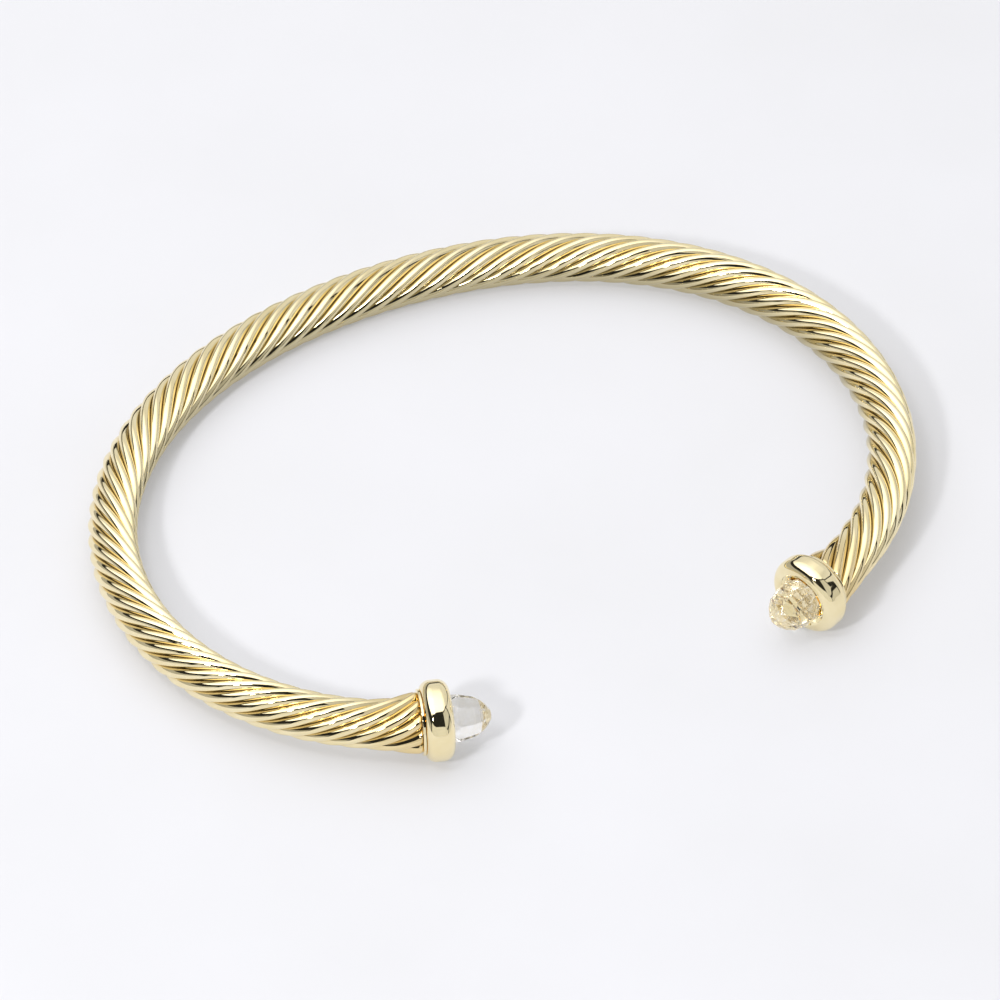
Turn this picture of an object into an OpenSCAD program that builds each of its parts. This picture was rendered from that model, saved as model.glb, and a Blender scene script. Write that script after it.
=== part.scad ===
// Open twisted cuff bracelet, lying on its side. Millimetres, +Z up.
// The origin is the middle of the outline at the surface it rests on.
// The opening faces -Y. The back of the cuff is at +Y.

/* [Outline] */
// Length of the centreline from the middle of the back to the middle of a collar
half_len = 74.8; // [70:0.1:80]
// Bend radius of the centreline at the middle of the back
back_bend_r = 44.4; // [40:0.2:50]
// Bend radius of the centreline along the sides and the ends
side_bend_r = 23; // [22.4:0.1:25]
// Length over which the bend tightens from the back to the sides
blend_len = 41.5; // [36:0.5:46]
// Extra turn of the left end along its flare
left_turn = 4.5; // [0:0.5:6]

/* [Cable] */
// Outer diameter of the cable over its strands
cable_d = 4; // [3.6:0.1:4.4]
// Number of strands round the cable
strand_count = 10; // [9:1:11]
// Width of one strand across its length
strand_w = 0.9; // [0.88:0.01:1]
// Height of a strand's rounded crest above its widest place
strand_h = 0.6; // [0.45:0.01:0.65]
// Length in which a strand winds once round the cable
pitch = 20; // [16:0.5:26]
// Way the strands wind
winding = -1; // [-1:Left-handed, 1:Right-handed]
// Outer diameter of the cable where it flares out to a collar
flare_d = 5.2; // [4.6:0.1:5.6]
// Length of the flare
flare_len = 4.5; // [3:0.1:6]

/* [Collars] */
// Outer diameter of a collar
collar_d = 6.55; // [6:0.05:7]
// Width of a collar along the cable
collar_w = 2.35; // [2.1:0.05:2.6]
// Radius of a collar's rounded edges
collar_edge_r = 0.9; // [0.5:0.05:1]
// Diameter of the step between a collar and the flare
step_d = 5.35; // [5.2:0.05:5.8]
// Width of the step
step_w = 0.2; // [0.15:0.05:0.6]
// Diameter of the mouth of a collar's cup, which narrows to the stone
mouth_d = 4.6; // [4.4:0.1:4.7]

/* [Stones] */
// Widest diameter of a stone across its corners
stone_d = 4.05; // [3.6:0.05:4.3]
// Length of stone that stands out of a collar
stone_len = 3.15; // [2.8:0.05:3.6]
// Number of facets in each row round a stone
facet_count = 8; // [8:1:12]
// Turn of the right stone about its own axis
right_stone_turn = 12; // [0:1:45]

/* [Hidden] */
$fn = 96;
metal_color = [0.93, 0.85, 0.6];
stone_color = [0.9, 0.93, 0.96, 0.6];

// Gap round each piece that sits inside another
gap = 0.03;
// Tenon of the cable inside a collar
tenon_d = 3.4;
tenon_len = 1.1;
// Cup of a collar: its mouth narrows to a short straight rim, and it narrows again below the rim.
mouth_depth = 0.3;
cup_rim = 0.25;
cup_depth = 1;
cup_floor_d = 1.1;
// Length by which a cut runs on past the face that it opens
cut_over = 1;
// Thickness of the slices that a stone is spanned between
slice = 0.001;

// Mesh of the cable
points_per_strand = 6;
body_steps = 37;
flare_steps = 5;
route_steps = 60;
// Angle of the first strand at the middle of the back: 90 points up.
strand_start = 90;
// Hand twisting is not quite even, so the strands lag behind the pitch or run ahead of it.
// [distance from the middle of the back, angle that the strands lag by]
TWIST_DRIFT = [
    [-75, 4],
    [-60, 1],
    [-42, -1],
    [-26, -12],
    [-14, -2],
    [0, 0],
    [28, 17],
    [47, 16],
    [55, 10],
    [75, 17]
];
// The flare widens slowly at first, with this power of the length along it.
flare_power = 2;

// The cable ends at the step of the collar, whose centre is at half_len.
cable_half = half_len - collar_w / 2 - step_w - gap;
flare_start = cable_half - flare_len;

// Rows of corners between a stone's facets, from the culet in the cup to the table at the tip
// [height above the collar's face as a part of stone_len, radius as a part of stone_d / 2,
// turn as a part of a facet]
STONE_ROWS = [
    [-0.25, 0.31, 0.5],
    [-0.08, 0.945, 0.5],
    [0.17, 1.00, 0],
    [0.56, 0.84, 0],
    [0.77, 0.63, 0],
    [0.90, 0.42, 0.5],
    [1.00, 0.18, 0]
];
// The second row sits in the rim of the cup.
cup_d = STONE_ROWS[1][1] * stone_d + 2 * gap;

// Part of a flare that lies behind the distance s from the middle of the back
function flare_share(s) = min(max(abs(s) - flare_start, 0) / flare_len, 1);

// Angle that the centreline has turned through at the distance s, which is negative on the left.
// It runs straight where it passes through a collar.
function heading(s) =
    let (back = 1 / back_bend_r, side = 1 / side_bend_r, u = min(abs(s) / blend_len, 1))
    let (blended = back * u + (side - back) * (pow(u, 3) - pow(u, 4) / 2))
    let (arc = side * max(min(abs(s), cable_half) - blend_len, 0))
    (blended * blend_len + arc) * 180 / PI + (s < 0 ? left_turn * flare_share(s) : 0);

// Point of the centreline at the distance s, as a sum of short straight steps
function place(s) =
    let (steps = [for (i = [0.5:route_steps]) heading(s * i / route_steps)])
    [for (h = steps) 1 / route_steps] * [for (h = steps) [s * cos(h), -abs(s) * sin(h)]];

// Section of the cable: an outline of strands with tall rounded crests that meet in grooves.
// A strand crosses the section at a slant, so it is wider there than across its length.
core_r = cable_d / 2 - strand_h;
slant = atan(2 * PI * core_r / pitch);
strand_half_w = strand_w / 2 / cos(slant);
half_share = 180 / strand_count;
groove_side = strand_h * tan(half_share);
groove_at = asin(min(core_r * tan(half_share) / norm([strand_half_w, groove_side]), 1))
    + atan(groove_side / strand_half_w);
section = [
    for (k = [0:strand_count - 1], i = [0:points_per_strand - 1])
        let (t = groove_at * (2 * i / points_per_strand - 1), a = k * 360 / strand_count)
        let (out = core_r + strand_h * cos(t), side = strand_half_w * sin(t))
        [out * cos(a) - side * sin(a), out * sin(a) + side * cos(a)]
];
tenon_section = [for (p = section) tenon_d / 2 * p / norm(p)];

function flare_scale(s) = 1 + (flare_d / cable_d - 1) * pow(flare_share(s), flare_power);

// Ring of points round the centreline: the section's x points out of the cuff
function ring(outline, s, grow) =
    let (p = place(s), h = sign(s) * heading(s))
    let (a = strand_start + winding * (360 * s / pitch - lookup(s, TWIST_DRIFT)))
    [for (q = outline)
        let (out = grow * (q.x * cos(a) - q.y * sin(a)), up = grow * (q.x * sin(a) + q.y * cos(a)))
        [p.x + out * sin(h), p.y + out * cos(h), up]];

half_stations = concat(
    [for (i = [1:body_steps]) flare_start * i / body_steps],
    [for (i = [1:flare_steps]) flare_start + flare_len * i / flare_steps]
);
stations = concat([for (i = [len(half_stations) - 1:-1:0]) -half_stations[i]], [0], half_stations);

// The cuff lies on its collars and on the middle of its back.
end_points = [for (side = [-1, 1]) place(side * half_len)];
lie_tilt = asin((collar_d - cable_d) / 2 / -max([for (p = end_points) p.y]));
// Front of the outline, at the rounded edge of a collar
fronts = [
    for (i = [0, 1])
        let (h = heading((2 * i - 1) * half_len))
        end_points[i].y - collar_edge_r - (collar_d / 2 - collar_edge_r) * abs(cos(h))
            - (collar_w / 2 - collar_edge_r) * abs(sin(h))
];
middle_y = (cable_d / 2 + min(fronts)) / 2;

module lying() {
    translate([0, -middle_y, cable_d / 2])
        rotate([-lie_tilt, 0, 0])
            children();
}

// Puts a piece with its axis on +Z at an end of the centreline: side is -1 or 1
module at_end(side) {
    h = heading(side * half_len);
    translate(place(side * half_len))
        rotate([0, 0, side < 0 ? 180 + h : -h])
            rotate([0, 90, 0])
                children();
}

// Round bar of twisted strands with flared ends, and a tenon at each end
module cable() {
    tenon_end = cable_half + tenon_len;
    rings = concat(
        [ring(tenon_section, -tenon_end, 1), ring(tenon_section, -cable_half, 1)],
        [for (s = stations) ring(section, s, flare_scale(s))],
        [ring(tenon_section, cable_half, 1), ring(tenon_section, tenon_end, 1)]
    );
    n = len(section);
    last = (len(rings) - 1) * n;
    sides = [
        for (r = [0:len(rings) - 2], i = [0:n - 1])
            let (a = r * n + i, b = r * n + (i + 1) % n)
            each winding < 0
                ? [[a, a + n, b], [b, a + n, b + n]]
                : [[a, b + n, b], [a, a + n, b + n]]
    ];
    caps = [[for (i = [0:n - 1]) i], [for (i = [n - 1:-1:0]) last + i]];
    color(metal_color)
        lying()
            polyhedron([for (r = rings) each r], concat(sides, caps));
}

// Section of a collar: a band with rounded edges and a step towards the cable
module collar_section() {
    half_w = collar_w / 2;
    inner_r = collar_d / 2 - collar_edge_r;
    translate([0, -half_w])
        square([inner_r, collar_w]);
    translate([0, collar_edge_r - half_w])
        square([collar_d / 2, collar_w - 2 * collar_edge_r]);
    for (y = [collar_edge_r - half_w, half_w - collar_edge_r])
        translate([inner_r, y])
            circle(r = collar_edge_r);
    translate([0, -half_w - step_w])
        square([step_d / 2, step_w + collar_edge_r]);
}

module collar(side) {
    half_w = collar_w / 2;
    socket_len = tenon_len - step_w + gap;
    color(metal_color)
        lying()
            at_end(side)
                difference() {
                    rotate_extrude()
                        collar_section();
                    translate([0, 0, -half_w - step_w - cut_over])
                        cylinder(d = tenon_d + 2 * gap, h = cut_over + step_w + socket_len);
                    translate([0, 0, half_w - mouth_depth])
                        cylinder(d1 = cup_d, d2 = mouth_d, h = mouth_depth);
                    translate([0, 0, half_w - mouth_depth - cup_rim])
                        cylinder(d = cup_d, h = cup_rim + cut_over);
                    translate([0, 0, half_w - cup_depth])
                        cylinder(d1 = cup_floor_d, d2 = cup_d, h = cup_depth - mouth_depth - cup_rim);
                }
}

// Clear bullet-shaped stone with flat facets, a table at its tip and a culet in the cup
module stone(side) {
    color(stone_color)
        lying()
            at_end(side)
                translate([0, 0, collar_w / 2])
                    rotate([0, 0, 180 / facet_count + (side > 0 ? right_stone_turn : 0)])
                        hull()
                            for (row = STONE_ROWS)
                                translate([0, 0, row[0] * stone_len])
                                    rotate([0, 0, row[2] * 360 / facet_count])
                                        linear_extrude(slice)
                                            circle(r = row[1] * stone_d / 2, $fn = facet_count);
}

module collar_left() { collar(-1); }
module collar_right() { collar(1); }
module stone_left() { stone(-1); }
module stone_right() { stone(1); }

cable();
collar_left();
collar_right();
stone_left();
stone_right();
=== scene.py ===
# %% [markdown]
# # A twisted cuff bracelet
# The real object is a stiff open bracelet. A bundle of round wires was twisted into a cable, soldered and
# plated, bent to the shape of a wrist, and closed at each end by a polished collar that holds a cut crystal.
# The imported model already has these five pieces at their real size: one cable, two collars and two stones.
# It is loaded first and never moved. Each piece that is made here lies exactly where its solid lies.

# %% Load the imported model
import math

import bmesh
import bpy
import numpy as np
from mathutils import Matrix, Vector


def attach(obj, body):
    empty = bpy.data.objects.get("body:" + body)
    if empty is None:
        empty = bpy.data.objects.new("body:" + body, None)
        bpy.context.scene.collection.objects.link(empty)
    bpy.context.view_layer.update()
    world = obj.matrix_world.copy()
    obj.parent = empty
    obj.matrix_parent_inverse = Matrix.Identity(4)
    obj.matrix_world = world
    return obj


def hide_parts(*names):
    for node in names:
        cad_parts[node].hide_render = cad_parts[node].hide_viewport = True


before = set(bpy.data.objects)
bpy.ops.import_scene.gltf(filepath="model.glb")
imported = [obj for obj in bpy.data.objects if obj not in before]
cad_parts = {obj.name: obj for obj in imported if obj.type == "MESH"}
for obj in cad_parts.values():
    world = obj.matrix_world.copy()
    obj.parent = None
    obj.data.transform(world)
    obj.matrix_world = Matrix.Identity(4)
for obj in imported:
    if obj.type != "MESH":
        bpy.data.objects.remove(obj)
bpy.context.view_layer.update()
MM = 0.001
print("nodes:", ", ".join(sorted(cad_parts)))

# %% [markdown]
# ## The bend of the cuff
# The maker bends the straight cable round a form. The back is the flattest part, and the bend tightens
# towards the sides, so the inside is an oval that fits a wrist. The bend is written here as the angle that
# the centreline has turned through at a distance s from the middle of the back. Adding up short steps in
# those directions gives the centreline itself, which is how a drawn curve of known length is best made.
# The two halves are alike, but for a few degrees more at the left end, as hand bending leaves them.

# %% Centreline
half_len = 74.8 * MM
back_bend_r = 44.4 * MM
side_bend_r = 23 * MM
blend_len = 41.5 * MM
left_turn = math.radians(4.5)
collar_w = 2.35 * MM
step_w = 0.2 * MM
gap = 0.03 * MM
flare_len = 4.5 * MM
cable_half = half_len - collar_w / 2 - step_w - gap
flare_start = cable_half - flare_len
route_steps = 60


def flare_share(s):
    """Part of a flare that lies behind each distance s: 0 along the body and 1 at the collar."""
    return np.clip((np.abs(s) - flare_start) / flare_len, 0, 1)


def heading(s):
    """Angle in radians that the centreline has turned through at each distance s to either side."""
    back, side, u = 1 / back_bend_r, 1 / side_bend_r, np.minimum(np.abs(s) / blend_len, 1)
    blended = (back * u + (side - back) * (u**3 - u**4 / 2)) * blend_len
    arc = side * np.maximum(np.minimum(np.abs(s), cable_half) - blend_len, 0)
    return blended + arc + np.where(s < 0, left_turn * flare_share(s), 0)


def place(s):
    """Points of the centreline in the plane of the cuff, for an array of distances s."""
    steps = heading(s[:, None] * (np.arange(route_steps) + 0.5) / route_steps)
    return np.stack([s * np.cos(steps).mean(1), -np.abs(s) * np.sin(steps).mean(1)], 1)


end_s = np.array([-half_len, half_len])
end_points = place(end_s)
end_headings = heading(end_s)
for word, (x, y), turn in zip(("left", "right"), end_points / MM, np.degrees(end_headings)):
    print(f"{word} end: x {x:.1f} mm, y {y:.1f} mm, turned by {turn:.0f} degrees")

# %% [markdown]
# The collars are thicker than the cable, so the lying cuff leans by a degree or two: it touches the table
# with its collars and with the middle of its back. One matrix lays everything down in that way. Each piece
# is first worked out as if the cuff lay level, and the function below tilts it as it makes the mesh.

# %% Lay the cuff on its side
cable_d = 4 * MM
collar_d = 6.55 * MM
collar_edge_r = 0.9 * MM
lie_tilt = math.asin((collar_d - cable_d) / 2 / -end_points[:, 1].max())
fronts = (
    end_points[:, 1]
    - collar_edge_r
    - (collar_d / 2 - collar_edge_r) * abs(np.cos(end_headings))
    - (collar_w / 2 - collar_edge_r) * abs(np.sin(end_headings))
)
middle_y = (cable_d / 2 + fronts.min()) / 2
lying = Matrix.Translation((0, -middle_y, cable_d / 2)) @ Matrix.Rotation(-lie_tilt, 4, "X")
print(f"the cuff leans by {math.degrees(lie_tilt):.2f} degrees")


def make_piece(name, points, faces):
    """Makes a smooth mesh object from points and faces, laid down with the cuff."""
    mesh = bpy.data.meshes.new(name)
    mesh.from_pydata([lying @ Vector(p) for p in points], [], faces)
    mesh.update()
    mesh.polygons.foreach_set("use_smooth", [True] * len(mesh.polygons))
    piece = bpy.data.objects.new(name, mesh)
    bpy.context.scene.collection.objects.link(piece)
    return piece


# %% [markdown]
# ## The twisted cable
# Ten wires lie side by side round a core, each wound once round it in every 20 mm. Seen end on, the cable
# is a ring of tall rounded crests. Each wire crosses that section at a slant, so it looks wider there.
# Sweeping this outline along the centreline while it turns gives the whole cable as one skin, so that light
# can bounce between neighbouring wires and the grooves stay perfectly sharp. Ten separate tubes would need
# many more faces inside each other for the same look.

# %% Section of the cable
strand_count = 10
strand_w = 0.9 * MM
strand_h = 0.6 * MM
pitch = 20 * MM
winding = -1
strand_start = math.radians(90)
points_per_strand = 20
core_r = cable_d / 2 - strand_h
slant = math.atan(2 * math.pi * core_r / pitch)
strand_half_w = strand_w / 2 / math.cos(slant)
half_share = math.pi / strand_count
groove_side = strand_h * math.tan(half_share)
groove_at = math.asin(core_r * math.tan(half_share) / math.hypot(strand_half_w, groove_side))
groove_at += math.atan(groove_side / strand_half_w)

across = np.tile(groove_at * (2 * np.arange(points_per_strand) / points_per_strand - 1), strand_count)
strand_turn = np.repeat(np.arange(strand_count) * 2 * math.pi / strand_count, points_per_strand)
out, aside = core_r + strand_h * np.cos(across), strand_half_w * np.sin(across)
section = np.stack(
    [
        out * np.cos(strand_turn) - aside * np.sin(strand_turn),
        out * np.sin(strand_turn) + aside * np.cos(strand_turn),
    ],
    1,
)
groove_depth = cable_d / 2 - np.linalg.norm(section, axis=1).min()
print(f"{strand_count} wires slant by {math.degrees(slant):.0f} degrees")
print(f"the grooves between them are {groove_depth / MM:.2f} mm deep")

# %% [markdown]
# The cable flares out over its last few millimetres, where the wires are spread to meet the collar, and the
# very ends of the wires were rounded over when the collar was soldered on. Behind them a thinner tenon goes
# into the collar and is hidden there. The rings stand about a third of a millimetre apart, which keeps each
# slanting wire smooth, and closer together along the flares.

# %% Stations of the sweep
flare_d = 5.2 * MM
flare_power = 2
end_round = 0.3 * MM
tenon_d = 3.4 * MM
tenon_len = 1.1 * MM
body_rings = 190
flare_rings = 22
round_rings = 7

rounding = np.radians(np.linspace(0, 90, round_rings + 1))
half_stations = np.concatenate(
    [
        np.linspace(0, flare_start, body_rings + 1)[1:],
        np.linspace(flare_start, cable_half - end_round, flare_rings + 1)[1:],
        cable_half - end_round * (1 - np.sin(rounding[1:])),
    ]
)
stations = np.concatenate([-half_stations[::-1], [0], half_stations])
flare = 1 + (flare_d / cable_d - 1) * flare_share(stations) ** flare_power
into_round = np.clip((np.abs(stations) - cable_half + end_round) / end_round, 0, 1)
flare -= end_round * (1 - np.sqrt(1 - into_round**2)) / (flare_d / 2)
print(f"{len(stations)} rings along the cable")

# %% [markdown]
# No hand-twisted cable is perfectly even. Each wire rises and falls by about a hundredth of a millimetre
# along its length, and no two do it alike. It can't be measured in the outline, but it breaks up the long
# highlights, which is what tells the eye that the wires are metal and not a drawn pattern. The twist isn't
# even either: over a few centimetres the wires lag some degrees behind the pitch or run ahead of it.

# %% Unevenness of the wires
wave_height = 0.012 * MM
wave_lengths = [5.3 * MM, 8.9 * MM, 14.7 * MM]
# Angle in radians between the waves of one wire and of the next
wave_shift = 2.4
# Distance from the middle of the back in mm, and the angle in degrees that the wires lag by
twist_drift = [
    (-75, 4),
    (-60, 1),
    (-42, -1),
    (-26, -12),
    (-14, -2),
    (0, 0),
    (28, 17),
    (47, 16),
    (55, 10),
    (75, 17),
]


def unevenness(s):
    """How far each point of the section is pushed out at each distance s: smooth waves for each wire."""
    wire = np.repeat(np.arange(strand_count), points_per_strand)
    waves = [
        np.sin(2 * math.pi * s[:, None] / length + wave_shift * (i + 1) * wire)
        for i, length in enumerate(wave_lengths)
    ]
    return wave_height * np.cos(across / groove_at * math.pi / 2) * sum(waves) / len(waves)


def winding_angle(s):
    """Angle that the section has wound through at each distance s."""
    drift = np.radians(np.interp(s / MM, *zip(*twist_drift)))
    return strand_start + winding * (2 * math.pi * s / pitch - drift)


print(f"each wire rises and falls by up to {unevenness(stations).max() / MM:.3f} mm")

# %% [markdown]
# Now the section is carried along the centreline. At each station it is turned by its winding angle, made
# wider by the flare, and stood square to the centreline. NumPy does this for all rings at once, which is
# much faster than a loop over nearly ninety thousand points.

# %% Sweep the section along the centreline
def rings(outline, s, grow, lift):
    """Rings of points round the centreline: one copy of the outline for each distance in s."""
    middle = place(s)
    turned = np.sign(s) * heading(s)
    a = winding_angle(s)
    size = grow[:, None] * (1 + lift / np.linalg.norm(outline, axis=1))
    x = size * (outline[:, 0] * np.cos(a)[:, None] - outline[:, 1] * np.sin(a)[:, None])
    z = size * (outline[:, 0] * np.sin(a)[:, None] + outline[:, 1] * np.cos(a)[:, None])
    return np.stack(
        [middle[:, :1] + x * np.sin(turned)[:, None], middle[:, 1:] + x * np.cos(turned)[:, None], z], 2
    )


tenon_outline = section / np.linalg.norm(section, axis=1)[:, None] * tenon_d / 2
tenon_s = np.array([cable_half, cable_half + tenon_len])
sweep = np.concatenate(
    [
        rings(tenon_outline, -tenon_s[::-1], np.ones(2), 0),
        rings(section, stations, flare, unevenness(stations)),
        rings(tenon_outline, tenon_s, np.ones(2), 0),
    ]
)
sweep_s = np.concatenate([-tenon_s[::-1], stations, tenon_s])
print(f"{len(sweep)} rings of {len(section)} points")

# %% [markdown]
# The points become a mesh with one quad between each four neighbours and a flat cap at each end. Every
# surface is shaded smooth, but the edges along the grooves are marked sharp, because the plating does not
# fill them, and so are the edges round the tenons.

# %% Make the cable
ring_len = len(section)
ring_count = len(sweep)
corner = np.arange((ring_count - 1) * ring_len).reshape(-1, ring_len)
next_corner = np.roll(corner, -1, axis=1)
quads = np.stack([corner, next_corner, next_corner + ring_len, corner + ring_len], 2).reshape(-1, 4)
caps = [list(range(ring_len))[::-1], list(range(ring_len * (ring_count - 1), ring_len * ring_count))]
cable = make_piece("twisted_cable", sweep.reshape(-1, 3).tolist(), quads.tolist() + caps)

tenon_rings = [0, 1, 2]
ends = np.empty(len(cable.data.edges) * 2, int)
cable.data.edges.foreach_get("vertices", ends)
ends = ends.reshape(-1, 2)
along_groove = (ends % points_per_strand == 0).all(1) & (abs(ends[:, 0] - ends[:, 1]) == ring_len)
ring_of = np.minimum(ends // ring_len, ring_count - 1 - ends // ring_len)
at_tenon = (ring_of[:, 0] == ring_of[:, 1]) & np.isin(ring_of[:, 0], tenon_rings)
sharp = cable.data.attributes.new("sharp_edge", "BOOLEAN", "EDGE")
sharp.data.foreach_set("value", along_groove | at_tenon)
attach(cable, "root")
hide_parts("cable")
print(f"{cable.name}: {len(cable.data.polygons)} faces")

# %% [markdown]
# Three facts about each place on the cable are stored in the mesh for the plating to use later. The first
# is how deep it lies in its groove, from 0 on the crest to 1 at the bottom, where a polishing wheel can't
# reach; it also brings in the painted shade of the flanks and grooves. The second says how close the next
# collar is, for a painted shade in the corner in front of it. The third says how far round on the inside of
# the cuff the place lies, low down, for a painted shade there.

# %% Store the groove depth and where painted shade lies
# Painted shade comes in over this length before each collar
corner_shade_len = 5 * MM
# Painted shade lies low on the inside of the cuff, round this direction of the section
inner_shade_deg = 205
inner_shade_from = 0.5


def store(name, values):
    """Stores one number for each point of the cable."""
    cable.data.attributes.new(name, "FLOAT", "POINT").data.foreach_set("value", np.ravel(values))


depth = (1 - np.cos(across)) / (1 - math.cos(groove_at))
store("groove", np.tile(depth, ring_count))
near_collar = np.clip((abs(sweep_s) - cable_half + corner_shade_len) / corner_shade_len, 0, 1)
store("near_collar", np.repeat(near_collar, ring_len))
round_angle = winding_angle(sweep_s)[:, None] + np.arctan2(section[:, 1], section[:, 0])
turned_away = np.cos(round_angle - math.radians(inner_shade_deg))
store("low_inner_shade", np.clip((turned_away - inner_shade_from) / (1 - inner_shade_from), 0, 1))
print(f"{(turned_away > inner_shade_from).mean():.0%} of the cable lies low on the inside")

# %% [markdown]
# The fine lines that the drawing die left run along each wire, wherever it goes. To draw them later, each
# place is given its position on its own wire, in millimetres along and across. That is kept for each face
# corner, and not for each point, because at a groove the same point belongs to two wires.

# %% Store the places on the wires
column = np.arange(ring_len)
wire_number = column // points_per_strand
column_w = 2 * groove_at * strand_w / 2 / MM / points_per_strand
left_side = (column % points_per_strand - points_per_strand / 2) * column_w
right_side = left_side + column_w
near, far = sweep_s[:-1] / math.cos(slant) / MM, sweep_s[1:] / math.cos(slant) / MM
face_corners = [(near, left_side), (near, right_side), (far, right_side), (far, left_side)]
wire_place = np.zeros((ring_count - 1, ring_len, 4, 3))
for k, (distance, sideways) in enumerate(face_corners):
    wire_place[:, :, k, 0] = distance[:, None]
    wire_place[:, :, k, 1] = sideways
    wire_place[:, :, k, 2] = wire_number
cap_place = np.zeros((2 * ring_len, 3))
cable.data.attributes.new("wire_place", "FLOAT_VECTOR", "CORNER").data.foreach_set(
    "vector", np.concatenate([wire_place.reshape(-1, 3), cap_place]).ravel()
)
print(f"each wire is {2 * sweep_s[-1] / math.cos(slant) / MM:.0f} mm long")

# %% [markdown]
# ## The collars
# Each collar was turned on a lathe and polished: a rounded band, a thin step where it meets the cable, and
# a cup in front for the stone. A turned part is made by turning its profile round an axis, so the profile
# is written once as points of distance along the axis and radius, with arcs for the rounded edges.

# %% Profile of a collar
step_d = 5.35 * MM
stone_d = 4.05 * MM
mouth_d = 4.6 * MM
mouth_depth = 0.3 * MM
girdle_share = 0.945
cup_d = girdle_share * stone_d + 2 * gap
cup_rim = 0.25 * MM
cup_depth = 1 * MM
cup_floor_d = 1.1 * MM
socket_end = -collar_w / 2 - step_w + tenon_len + gap
small_edge_r = 0.06 * MM
small_steps, edge_steps = 4, 24


def arc(middle_along, middle_r, r, from_deg, to_deg, steps):
    """Points of an arc in the profile. 0 degrees points along the axis and 90 degrees away from it."""
    angles = np.radians(np.linspace(from_deg, to_deg, steps + 1))
    return [(middle_along + r * math.cos(a), middle_r + r * math.sin(a)) for a in angles]


half_w = collar_w / 2
inner_r = collar_d / 2 - collar_edge_r
socket_r = tenon_d / 2 + gap
step_back = -half_w - step_w
mouth_slope = math.degrees(math.atan2(mouth_depth, (mouth_d - cup_d) / 2))
profile = (
    [(socket_end, 0), (socket_end, socket_r), (step_back, socket_r)]
    + arc(step_back + small_edge_r, step_d / 2 - small_edge_r, small_edge_r, 180, 90, small_steps)
    + [(-half_w, step_d / 2)]
    + arc(-half_w + collar_edge_r, inner_r, collar_edge_r, 180, 90, edge_steps)[1:]
    + arc(half_w - collar_edge_r, inner_r, collar_edge_r, 90, 0, edge_steps)
    + arc(half_w - small_edge_r, mouth_d / 2 + small_edge_r, small_edge_r, 0, -mouth_slope, small_steps)
    + [
        (half_w - mouth_depth, cup_d / 2),
        (half_w - mouth_depth - cup_rim, cup_d / 2),
        (half_w - cup_depth, cup_floor_d / 2),
        (half_w - cup_depth, 0),
    ]
)
print(f"the profile has {len(profile)} points")

# %% [markdown]
# The end of the centreline gives each collar its place: the axis runs on along the cable, and the collar's
# middle is at the end point. Edges that bend by more than 25 degrees are shaded sharp, which keeps the crisp
# line where the step meets the band.

# %% Turn the profile into two collars
turn_steps = 160
sharp_deg = 25
ends_of_cuff = {"left": 0, "right": 1}


def end_matrix(end):
    """Places a piece that was made on the Z axis at the left end (0) or the right end (1)."""
    turn = math.pi + end_headings[end] if end == 0 else -end_headings[end]
    return (
        Matrix.Translation((*end_points[end], 0))
        @ Matrix.Rotation(turn, 4, "Z")
        @ Matrix.Rotation(math.pi / 2, 4, "Y")
    )


def lathe(name, profile, to_place):
    """Turns a profile, which starts and ends on the axis, into a closed mesh."""
    rim = profile[1:-1]
    points = [to_place @ Vector((0, 0, profile[0][0])), to_place @ Vector((0, 0, profile[-1][0]))]
    for along, r in rim:
        for i in range(turn_steps):
            a = 2 * math.pi * i / turn_steps
            points.append(to_place @ Vector((r * math.cos(a), r * math.sin(a), along)))
    last = 2 + (len(rim) - 1) * turn_steps
    faces = []
    for i in range(turn_steps):
        j = (i + 1) % turn_steps
        faces += [(0, 2 + j, 2 + i), (1, last + i, last + j)]
        for a in range(2, last, turn_steps):
            faces.append((a + i, a + j, a + turn_steps + j, a + turn_steps + i))
    return make_piece(name, points, faces)


collars = {}
for word, end in ends_of_cuff.items():
    collar = lathe(f"polished_collar_{word}", profile, end_matrix(end))
    collar.data.set_sharp_from_angle(angle=math.radians(sharp_deg))
    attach(collar, "root")
    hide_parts(f"collar_{word}")
    collars[word] = collar
    print(f"{collar.name}: {len(collar.data.polygons)} faces")

# %% [markdown]
# ## The stones
# Each stone is a bullet of clear crystal with flat facets: rows of eight that step in towards the tip, a
# small table at the very end, and a tapered back that sits in the cup. Near the collar and near the tip,
# the next row is turned by half a facet, so that triangles lie between the rows, as on many cut stones.
# A convex hull wraps the corners of all rows in one closed skin, and triangles in one plane are then joined
# to one facet. Real facets meet in edges that are a little rounded by polishing, so a bevel of two
# hundredths of a millimetre gives each edge its thin bright line. The bevel's faces are marked, because
# such edges are a touch rougher than the facets. The faces at the back, from just above the second row
# down, get a second material, because a gold foil lies behind them.

# %% Make the stones
stone_len = 3.15 * MM
facet_count = 8
facet_edge = 0.02 * MM
same_facet_deg = 0.5
stone_turns = {"left": 0, "right": math.radians(12)}
# Rows of corners: height above the collar as a part of stone_len, radius as a part of stone_d / 2, and
# turn as a part of one facet
stone_rows = [
    (-0.25, 0.31, 0.5),
    (-0.08, girdle_share, 0.5),
    (0.17, 1.00, 0),
    (0.56, 0.84, 0),
    (0.77, 0.63, 0),
    (0.90, 0.42, 0.5),
    (1.00, 0.18, 0),
]
foil_height = stone_rows[1][0] + 0.001


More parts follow.
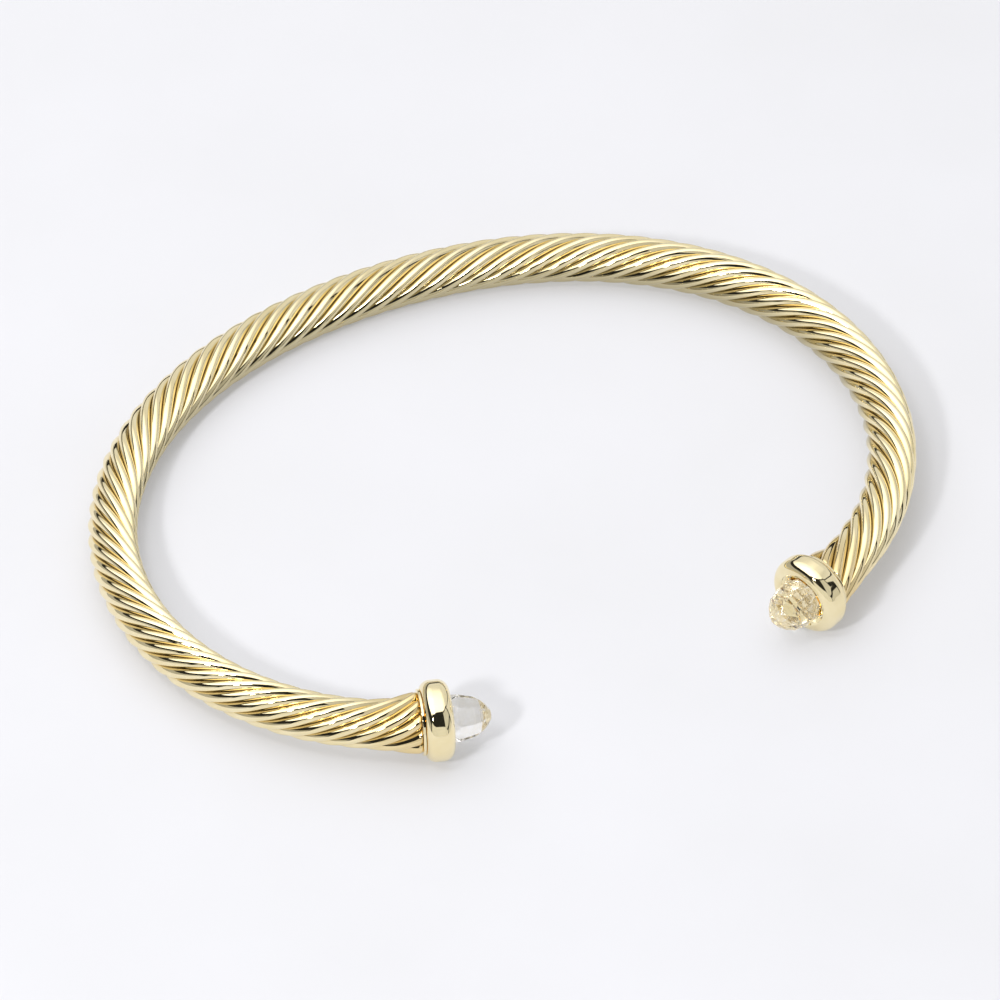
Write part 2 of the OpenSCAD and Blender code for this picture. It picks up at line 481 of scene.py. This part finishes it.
def bullet(name, to_place, turn):
    """Wraps the rows of a stone in a closed mesh of flat facets with narrow bevels between them."""
    shape = bmesh.new()
    on_edge = shape.faces.layers.float.new("facet_edge")
    for height, radius, row_turn in stone_rows:
        r, along = radius * stone_d / 2, half_w + height * stone_len
        for i in range(facet_count):
            a = turn + 2 * math.pi * (i + 0.5 + row_turn) / facet_count
            shape.verts.new((r * math.cos(a), r * math.sin(a), along))
    bmesh.ops.convex_hull(shape, input=shape.verts)
    bmesh.ops.dissolve_limit(
        shape, angle_limit=math.radians(same_facet_deg), verts=shape.verts, edges=shape.edges
    )
    foil_below = half_w + foil_height * stone_len
    for face in shape.faces:
        face.material_index = int(all(v.co.z < foil_below for v in face.verts))
    bevelled = bmesh.ops.bevel(shape, geom=shape.edges[:], offset=facet_edge, segments=1, affect="EDGES")
    for face in bevelled["faces"]:
        face[on_edge] = 1
    shape.transform(lying @ to_place)
    mesh = bpy.data.meshes.new(name)
    shape.to_mesh(mesh)
    shape.free()
    piece = bpy.data.objects.new(name, mesh)
    bpy.context.scene.collection.objects.link(piece)
    return piece


stones = {}
for word, end in ends_of_cuff.items():
    stone = bullet(f"cut_crystal_{word}", end_matrix(end), stone_turns[word])
    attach(stone, "root")
    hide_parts(f"stone_{word}")
    stones[word] = stone
    print(f"{stone.name}: {len(stone.data.polygons)} faces")

# %% [markdown]
# ## Materials
# A node material is a small drawing of how a surface was made. One function adds a node with its settings
# and its links, so each material below reads as a list of what it is built from. Colours are written as the
# hex values that a colour picker shows, and one function turns them to the linear values that light adds in.
# Every pattern's size is a real one, so patterns are drawn on the place in millimetres.

# %% Helpers for materials
M_TO_MM = 1000


def linear(hex_colour):
    """Linear RGBA of an sRGB hex colour such as #F4E3B2."""
    parts = [int(hex_colour[i : i + 2], 16) / 255 for i in (1, 3, 5)]
    return [c / 12.92 if c <= 0.04045 else ((c + 0.055) / 1.055) ** 2.4 for c in parts] + [1]


def add_node(tree, kind, settings=None, **inputs):
    """Adds a node. Each input is a value for its socket, or another node's output to link to it.
    A socket is called by its name with _ for each space, or by i and its number."""
    node = tree.nodes.new("ShaderNode" + kind)
    for key, value in (settings or {}).items():
        setattr(node, key, value)
    for key, value in inputs.items():
        socket = node.inputs[int(key[1:]) if key[1:].isdigit() else key.replace("_", " ")]
        if isinstance(value, bpy.types.NodeSocket):
            tree.links.new(value, socket)
        else:
            socket.default_value = value
    return node


def new_material(name):
    """Adds an empty node material and returns it with its tree."""
    material = bpy.data.materials.new(name)
    material.use_nodes = True
    material.node_tree.nodes.clear()
    return material, material.node_tree


def place_in_mm(tree):
    """The place on the piece in millimetres, for patterns to be drawn on."""
    place_m = add_node(tree, "TexCoord").outputs["Object"]
    return add_node(tree, "VectorMath", {"operation": "SCALE"}, i0=place_m, Scale=M_TO_MM).outputs["Vector"]


def range_of(tree, value, low, high, from_low=0.3, from_high=0.7):
    """Stretches a value to the range from low to high. A noise keeps mostly between 0.3 and 0.7."""
    return add_node(
        tree, "MapRange", i0=value, i1=from_low, i2=from_high, i3=low, i4=high
    ).outputs["Result"]


def mix_colour(tree, share, first, second):
    """Mixes two colours by a share from 0 to 1."""
    return add_node(tree, "Mix", {"data_type": "RGBA"}, i0=share, i6=first, i7=second).outputs[2]


print("white is", [round(c, 2) for c in linear("#FFFFFF")])

# %% [markdown]
# ## Gold plating
# The metal is brass with a bright electroplated skin of pale 14-karat gold, polished before and after. Its
# colour is the colour of its reflections, so the base colour is a light straw, and the roughness is that of
# a good polish. What gives it away as real metal is small: the plating is a little thicker and yellower in
# places, the polish is not quite even, and its surface dips and swells by a micrometre or two in every
# millimetre. The next function makes that skin. The wires and the collars then add what their making left.

# %% Plated skin
light_plating = "#FBEEC6"
heavy_plating = "#F4E4B4"
patch_mm = 2.6
swell_mm = 1.1
swell_height_mm = 0.0016
smooth_polish, dull_polish = 0.03, 0.09


def plated_skin(tree):
    """Adds the plating's uneven colour, polish and surface, and returns the three outputs."""
    place_mm = place_in_mm(tree)
    patches = add_node(tree, "TexNoise", Vector=place_mm, Scale=1 / patch_mm, Detail=3.0).outputs["Fac"]
    swell = add_node(tree, "TexNoise", Vector=place_mm, Scale=1 / swell_mm, Detail=1.0).outputs["Fac"]
    colour = mix_colour(tree, range_of(tree, patches, 0, 1), linear(light_plating), linear(heavy_plating))
    polish = range_of(tree, patches, smooth_polish, dull_polish)
    bump = add_node(tree, "Bump", Strength=1.0, Distance=swell_height_mm * MM, Height=swell)
    return colour, polish, bump.outputs["Normal"]


print(f"the plating swells by {swell_height_mm} mm every {swell_mm} mm")

# %% [markdown]
# ### The drawn wires
# Wire is pulled through a die, which leaves fine lines along it. They are about a hundredth of a millimetre
# apart, too fine for this picture, so they are drawn eight times as coarse and very shallow. A polishing
# wheel rides on the crests and never reaches the grooves, so those stay dull. Their near-black brown is
# painted shade, which the stored groove depth brings in only near the bottom. The flanks above it, the
# corner in front of each collar and the low inside of the cuff each get a painted shade of darker gold.

# %% Drawn and plated wire
line_mm = 0.08
line_stretch = 60
line_height_mm = 0.0004
# Shift of the pattern from one wire to the next, so that no two have the same lines
lines_shift = 7.3
# Painted shade on the flanks of each wire: a darker gold from part way down towards the groove
painted_flank_shade, flank_from, flank_full = "#E2CC96", 0.35, 0.95
# Painted shade in the bottom of each groove: a near-black brown, with a duller polish
painted_groove_shade, groove_from, groove_full = "#3C2B12", 0.8, 1.0
groove_polish = 0.4
# Painted shade in the corner in front of each collar: a warmer, darker gold
painted_corner_shade, corner_share = "#DFC080", 0.6
# Painted shade low on the inside of the cuff: a greyer, darker gold
painted_inner_shade = "#C0B592"

drawn_wire, tree = new_material("gold_plated_drawn_wire")
skin_colour, skin_polish, skin_normal = plated_skin(tree)
groove = add_node(tree, "Attribute", {"attribute_name": "groove"}).outputs["Fac"]
in_groove = range_of(tree, groove, 0, 1, groove_from, groove_full)
on_flank = range_of(tree, groove, 0, 1, flank_from, flank_full)
near_collar = add_node(tree, "Attribute", {"attribute_name": "near_collar"}).outputs["Fac"]
in_corner = range_of(tree, near_collar, 0, corner_share, 0.0, 1.0)
low_inner_shade = add_node(tree, "Attribute", {"attribute_name": "low_inner_shade"}).outputs["Fac"]
# Painted shade mixed into the wire's colour: the corner before each collar, the flanks, the low inside and
# the grooves
wire_colour = mix_colour(tree, in_corner, skin_colour, linear(painted_corner_shade))
wire_colour = mix_colour(tree, on_flank, wire_colour, linear(painted_flank_shade))
wire_colour = mix_colour(tree, low_inner_shade, wire_colour, linear(painted_inner_shade))
wire_colour = mix_colour(tree, in_groove, wire_colour, linear(painted_groove_shade))

wire_mm = add_node(tree, "Attribute", {"attribute_name": "wire_place"}).outputs["Vector"]
squeezed = add_node(
    tree, "VectorMath", {"operation": "MULTIPLY"}, i0=wire_mm, i1=(1 / line_stretch, 1, lines_shift)
).outputs["Vector"]
lines = add_node(tree, "TexNoise", Vector=squeezed, Scale=1 / line_mm, Detail=2.0).outputs["Fac"]
line_normal = add_node(
    tree, "Bump", Strength=1.0, Distance=line_height_mm * MM, Height=lines, Normal=skin_normal
).outputs["Normal"]
wire_shader = add_node(
    tree,
    "BsdfPrincipled",
    Base_Color=wire_colour,
    Metallic=1.0,
    Roughness=range_of(tree, in_groove, skin_polish, groove_polish, 0.0, 1.0),
    Normal=line_normal,
)
add_node(tree, "OutputMaterial", Surface=wire_shader.outputs["BSDF"])
cable.data.materials.append(drawn_wire)
print(f"{drawn_wire.name}: {len(tree.nodes)} nodes")

# %% [markdown]
# ### The turned collars
# The collars were turned, tumbled and buffed to a mirror, which took away every turning line. What is left
# is the skin alone, so a collar shows the lights of the studio with their edges nearly straight.

# %% Buffed and plated collar
buffed_collar, tree = new_material("gold_plated_buffed_collar")
skin_colour, skin_polish, skin_normal = plated_skin(tree)
collar_shader = add_node(
    tree,
    "BsdfPrincipled",
    Base_Color=skin_colour,
    Metallic=1.0,
    Roughness=skin_polish,
    Normal=skin_normal,
)
add_node(tree, "OutputMaterial", Surface=collar_shader.outputs["BSDF"])
for piece in collars.values():
    piece.data.materials.append(buffed_collar)
print(f"{buffed_collar.name}: {len(tree.nodes)} nodes")

# %% [markdown]
# ## Cut crystal
# The stones are clear lead-free crystal glass, cut and polished on a lap. Its IOR of about 1.54 bends light
# more than window glass does, so the gold of the cup shows through every facet. The lap leaves the faces
# almost perfectly smooth, with a faint ripple, and the edges between them slightly frosted.

# %% Clear cut crystal
crystal_clear, crystal_veil = "#FFFFFF", "#F7F5EE"
ripple_mm = 0.5
ripple_height_mm = 0.0004
facet_polish, edge_polish = 0.0, 0.12
crystal_ior = 1.54

crystal, tree = new_material("clear_cut_crystal")
ripple = add_node(
    tree, "TexNoise", Vector=place_in_mm(tree), Scale=1 / ripple_mm, Detail=1.0
).outputs["Fac"]
ripple_normal = add_node(
    tree, "Bump", Strength=1.0, Distance=ripple_height_mm * MM, Height=ripple
).outputs["Normal"]
on_edge = add_node(tree, "Attribute", {"attribute_name": "facet_edge"}).outputs["Fac"]
crystal_shader = add_node(
    tree,
    "BsdfPrincipled",
    Base_Color=mix_colour(tree, range_of(tree, ripple, 0, 1), linear(crystal_clear), linear(crystal_veil)),
    Roughness=range_of(tree, on_edge, facet_polish, edge_polish, 0.0, 1.0),
    IOR=crystal_ior,
    Transmission_Weight=1.0,
    Normal=ripple_normal,
)
add_node(tree, "OutputMaterial", Surface=crystal_shader.outputs["BSDF"])
for piece in stones.values():
    piece.data.materials.append(crystal)
print(f"{crystal.name}: {len(tree.nodes)} nodes")

# %% [markdown]
# ### Foil behind the stones
# A clear stone in a metal cup would look grey and empty, so jewellers put a bright gold foil behind it. The
# light goes in through the table, is thrown about by the foil and the facets, and comes back warm. The foil
# is a thin crinkled sheet, so its surface rises and falls much more than the plating does.

# %% Crinkled gold foil
foil_gold, foil_shade = "#FFF4D6", "#F0DDB0"
crinkle_mm = 0.3
crinkle_height_mm = 0.02
foil_polish = 0.05

foil, tree = new_material("crinkled_gold_foil")
crinkle = add_node(
    tree, "TexNoise", Vector=place_in_mm(tree), Scale=1 / crinkle_mm, Detail=2.0
).outputs["Fac"]
crinkle_normal = add_node(
    tree, "Bump", Strength=1.0, Distance=crinkle_height_mm * MM, Height=crinkle
).outputs["Normal"]
foil_shader = add_node(
    tree,
    "BsdfPrincipled",
    Base_Color=mix_colour(tree, range_of(tree, crinkle, 0, 1), linear(foil_shade), linear(foil_gold)),
    Metallic=1.0,
    Roughness=foil_polish,
    Normal=crinkle_normal,
)
add_node(tree, "OutputMaterial", Surface=foil_shader.outputs["BSDF"])
for piece in stones.values():
    piece.data.materials.append(foil)
print(f"{foil.name}: {len(tree.nodes)} nodes")

# %% [markdown]
# ## The studio
# The cuff lies on a plain white sheet of acrylic. The sheet glows a little by itself, a painted glow that
# stands for light from below, so that the shadows stay light. A faint mottle keeps it from looking like
# empty paper.

# %% Table
table_size = 6
table_white, table_shade = "#AEAEB3", "#AAAAAE"
table_polish = 0.6
# Painted light: the table's own glow, standing for light from below
table_glow = 0.285
grain_mm = 25

half = table_size / 2
table_corners = [(-half, -half, 0), (half, -half, 0), (half, half, 0), (-half, half, 0)]
table_mesh = bpy.data.meshes.new("table")
table_mesh.from_pydata(table_corners, [], [(0, 1, 2, 3)])
table = bpy.data.objects.new("table", table_mesh)
bpy.context.scene.collection.objects.link(table)
acrylic, tree = new_material("glowing_white_acrylic")
place_m = add_node(tree, "TexCoord").outputs["Object"]
mottle = add_node(tree, "TexNoise", Vector=place_m, Scale=M_TO_MM / grain_mm, Detail=4.0).outputs["Fac"]
table_shader = add_node(
    tree,
    "BsdfPrincipled",
    Base_Color=mix_colour(tree, range_of(tree, mottle, 0, 1), linear(table_white), linear(table_shade)),
    Roughness=table_polish,
    Emission_Color=linear("#FFFFFF"),
    Emission_Strength=table_glow,
)
add_node(tree, "OutputMaterial", Surface=table_shader.outputs["BSDF"])
table.data.materials.append(acrylic)
print(f"the table is {table_size} m wide")

# %% [markdown]
# A mirror shows its whole surroundings, so polished metal is lit with large, even panels whose dark borders
# draw thin lines along every wire. The panels are white cloth all round, as in a photographer's tent. Each
# is placed by the directions in which the cuff sees it: azimuth 0 is behind the cuff, 90 is on its right,
# and the elevation is the angle above the table. Each cloth glows by itself, and its folds make it a little
# uneven. One of them is brighter where a lamp stands behind it.

# %% Glowing cloth
tent_r = 0.5
fold_mm = 90
fold_dim, fold_bright = 0.94, 1.06
lamp_behind = (-75, 60)
lamp_reach = 0.4
cloth_step_deg = 3
cloth_rows = 12


def toward(azimuth_deg, elevation_deg):
    """Unit vector to a point of the studio."""
    a, e = math.radians(azimuth_deg), math.radians(elevation_deg)
    return Vector((math.sin(a) * math.cos(e), math.cos(a) * math.cos(e), math.sin(e)))


def glowing_cloth(name, dim, bright):
    """Material of white cloth with a lamp behind it: bright around the lamp and dim away from it."""
    material, tree = new_material(name)
    place_m = add_node(tree, "TexCoord").outputs["Object"]
    folds = add_node(tree, "TexNoise", Vector=place_m, Scale=M_TO_MM / fold_mm, Detail=1.0).outputs["Fac"]
    toward_lamp = add_node(
        tree, "VectorMath", {"operation": "DOT_PRODUCT"}, i0=place_m, i1=toward(*lamp_behind) / tent_r
    ).outputs["Value"]
    lit = range_of(tree, toward_lamp, dim, bright, lamp_reach, 1.0)
    uneven = range_of(tree, folds, fold_dim, fold_bright)
    strength = add_node(tree, "Math", {"operation": "MULTIPLY"}, i0=lit, i1=uneven).outputs["Value"]
    glow = add_node(tree, "Emission", Color=linear("#FFFFFF"), Strength=strength)
    add_node(tree, "OutputMaterial", Surface=glow.outputs["Emission"])
    return material


def cloth(name, edges, dim, bright=None):
    """Hangs a glowing cloth. The edges are rows of azimuth, lower and upper elevation in degrees."""
    azimuths = np.arange(edges[0][0], edges[-1][0] + 1, cloth_step_deg)
    lower = np.interp(azimuths, [e[0] for e in edges], [e[1] for e in edges])
    upper = np.interp(azimuths, [e[0] for e in edges], [e[2] for e in edges])
    row_shares = np.arange(cloth_rows + 1) / cloth_rows
    points, faces = [], []
    for k, (azimuth, low, high) in enumerate(zip(azimuths, lower, upper)):
        points += [toward(azimuth, low + (high - low) * share) * tent_r for share in row_shares]
        if k:
            near, far = (k - 1) * (cloth_rows + 1), k * (cloth_rows + 1)
            faces += [(near + i, far + i, far + i + 1, near + i + 1) for i in range(cloth_rows)]
    mesh = bpy.data.meshes.new(name)
    mesh.from_pydata(points, [], faces)
    mesh.materials.append(glowing_cloth(name, dim, bright or dim))
    piece = bpy.data.objects.new(name, mesh)
    piece.visible_camera = False
    bpy.context.scene.collection.objects.link(piece)
    return piece


print(f"the tent is {2 * tent_r} m wide")

# %% [markdown]
# A scrim hangs over the cuff down to a hem, which is higher in front, where the camera looks in. Dimmer
# boards stand round the sides, and the gaps between them and the scrim stay dark. The last cloth is a whole
# dome round the tent that only light through glass sees. It keeps the dark gaps out of the clear stones,
# which would turn grey with them, while the metal still shows its thin dark lines.

# %% Hang the cloths
tent_top = 89.5
below_table = -1
scrim_dim, scrim_bright = 0.8, 2.1
# Azimuth and elevation of the hem in degrees
scrim_hem = [
    (-180, 66),
    (-165, 65),
    (-150, 63),
    (-135, 59),
    (-120, 55),
    (-111, 52),
    (-106, 42),
    (-90, 42),
    (-75, 40),
    (-60, 37),
    (-45, 33),
    (-30, 28),
    (-15, 22),
    (0, 16),
    (15, 10),
    (30, 6),
    (60, 4),
    (75, 16),
    (90, 32),
    (105, 43),
    (120, 58),
    (135, 62),
    (165, 66),
    (180, 66),
]
# Name, brightness, and rows of azimuth, lower and upper elevation in degrees
boards = [
    (
        "left_board",
        0.45,
        [(-104, -1, 15), (-75, -1, 17), (-45, -1, 18), (-30, -1, 16), (0, -1, 9), (20, -1, 2)],
    ),
    ("right_board", 0.8, [(65, -1, 1), (80, -1, 15), (93, -1, 30), (107, -1, 41), (118, -1, 51)]),
    ("front_right_board", 0.65, [(122, 26, 54), (135, 24, 58), (150, 19, 61), (186, 14, 62)]),
    ("front_low_board", 0.8, [(-195, -1, 9), (-180, -1, 22), (-165, -1, 26), (-110, -1, 26)]),
    ("front_low_right_board", 0.65, [(122, -1, 18), (150, -1, 12), (163, -1, 8)]),
]
fill_glow = 0.9
fill_scale = 1.05

cloth("scrim", [(azimuth, hem, tent_top) for azimuth, hem in scrim_hem], scrim_dim, scrim_bright)
for name, brightness, edges in boards:
    cloth(name, edges, brightness)
all_round = [(-180, below_table, tent_top), (180, below_table, tent_top)]
stone_fill = cloth("stone_fill_dome", all_round, fill_glow)
stone_fill.scale = (fill_scale, fill_scale, fill_scale)
stone_fill.visible_glossy = False
stone_fill.visible_diffuse = False
stone_fill.visible_shadow = False
print(f"{len(boards) + 2} cloths hang round the cuff")

# %% [markdown]
# Three small lamps do what cloth can't. The key lamp shines past the hem, to the left of the camera, and
# throws the clear shadows. Polished metal would show it as a glaring dot on every wire, so glossy rays skip
# it, and a much weaker lamp in almost the same direction gives the sparks. The third one stands before the
# scrim, just over its hem, and gives the row of white glints along the back.

# %% Lamps
def lamp(name, azimuth_deg, elevation_deg, distance, size, radiance):
    """A small square lamp that faces the cuff. Sizes are in metres."""
    away = toward(azimuth_deg, elevation_deg)
    data = bpy.data.lights.new(name, "AREA")
    data.size = size
    data.energy = radiance * math.pi * size * size
    light = bpy.data.objects.new(name, data)
    light.location = away * distance
    light.rotation_mode = "QUATERNION"
    light.rotation_quaternion = away.to_track_quat("Z", "Y")
    light.visible_camera = False
    bpy.context.scene.collection.objects.link(light)
    return light


key = lamp("key", -120, 38.5, 0.8, 0.08, 155)
key.visible_glossy = False
lamp("spark_lamp", -118, 40, 1.5, 0.16, 25)
lamp("scrim_lamp", -120, 62, 0.45, 0.08, 16)
print(f"{len(bpy.data.lights)} lamps")

# %% [markdown]
# Light is thrown about between the facets and the foil several times before it leaves a stone. With the
# usual four mirror bounces a stone shows black patches, so eight are allowed here. Many more would turn the
# stones orange, because each touch of the foil takes some blue away. The room round the tent is dark grey.

# %% Bounces and the dark room
stone_bounces = 8
bpy.context.scene.cycles.glossy_bounces = stone_bounces

world = bpy.data.worlds.new("dark_room")
bpy.context.scene.world = world
world.use_nodes = True
background = world.node_tree.nodes["Background"]
background.inputs["Color"].default_value = linear("#2A2A2A")
background.inputs["Strength"].default_value = 1.0
print(f"light may bounce {stone_bounces} times off facets, foil and metal")

# %% [markdown]
# ## The camera
# A jeweller's catalogue picture is taken with a long lens from some way off, which keeps the oval of the
# cuff undistorted. The camera looks down at 45 degrees from the front left. The lens follows from the
# distance and from how many pixels a millimetre takes in a square picture of 1000 pixels.

# %% Camera
photo_px = 1000
px_per_mm = 12.43
sensor_w = 36
look_at = Vector((0.455, -0.02, 0)) * MM
to_camera = Vector((-0.3135, -0.6394, 0.7021)).normalized()
camera_distance = 1.2
nearest, farthest = 0.05, 50

camera_data = bpy.data.cameras.new("camera")
camera_data.sensor_width = sensor_w
camera_data.lens = px_per_mm / MM * camera_distance / photo_px * sensor_w
camera_data.clip_start = nearest
camera_data.clip_end = farthest
camera = bpy.data.objects.new("camera", camera_data)
camera.location = look_at + to_camera * camera_distance
camera.rotation_mode = "QUATERNION"
camera.rotation_quaternion = to_camera.to_track_quat("Z", "Y")
bpy.context.scene.collection.objects.link(camera)
bpy.context.scene.camera = camera
bpy.context.scene.view_settings.view_transform = "Standard"
print(f"lens {camera_data.lens:.0f} mm")
